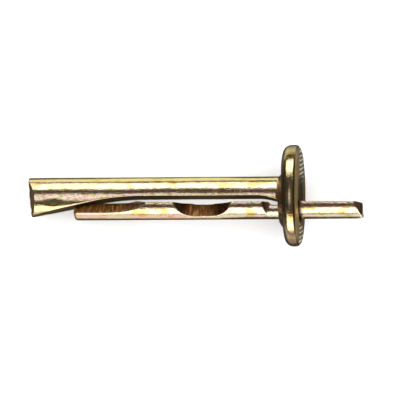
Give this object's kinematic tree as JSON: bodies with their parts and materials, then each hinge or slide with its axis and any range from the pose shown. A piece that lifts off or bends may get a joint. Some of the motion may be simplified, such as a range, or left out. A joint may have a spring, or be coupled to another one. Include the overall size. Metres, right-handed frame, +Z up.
{
  "type": "wedge anchor",
  "caption": "Nail-in wedge anchor: a forged body with a round head and a wedge tip, and a half-round pin that is driven through the head to spread it.",
  "frame": {"origin": "centre of the head's seat, on the axis of the shank", "axes": "+Z up with the anchor lying on its head's rim and its tip, +X from the tip towards the head, level, so the shank's own axis rises 6.7 degrees towards the head, +Y square to the split away from the pin"},
  "size_m": [0.0493, 0.0149, 0.0149],
  "materials": {
    "body_plating": "yellow passivated zinc plate with a faint rainbow sheen",
    "pin_plating": "yellow passivated zinc plate with a faint rainbow sheen"
  },
  "bodies": {
    "body": {"anchor_body": "body_plating"},
    "pin": {"expansion_pin": "pin_plating"}
  },
  "joints": [
    {"name": "pin_drive", "type": "hinge", "parent": "body", "child": "pin", "pos_m": [0.00566, -0.17093, 0.00066], "axis": [-0.1164, 0, 0.9932], "range_deg": [0, 3.1]}
  ]
}
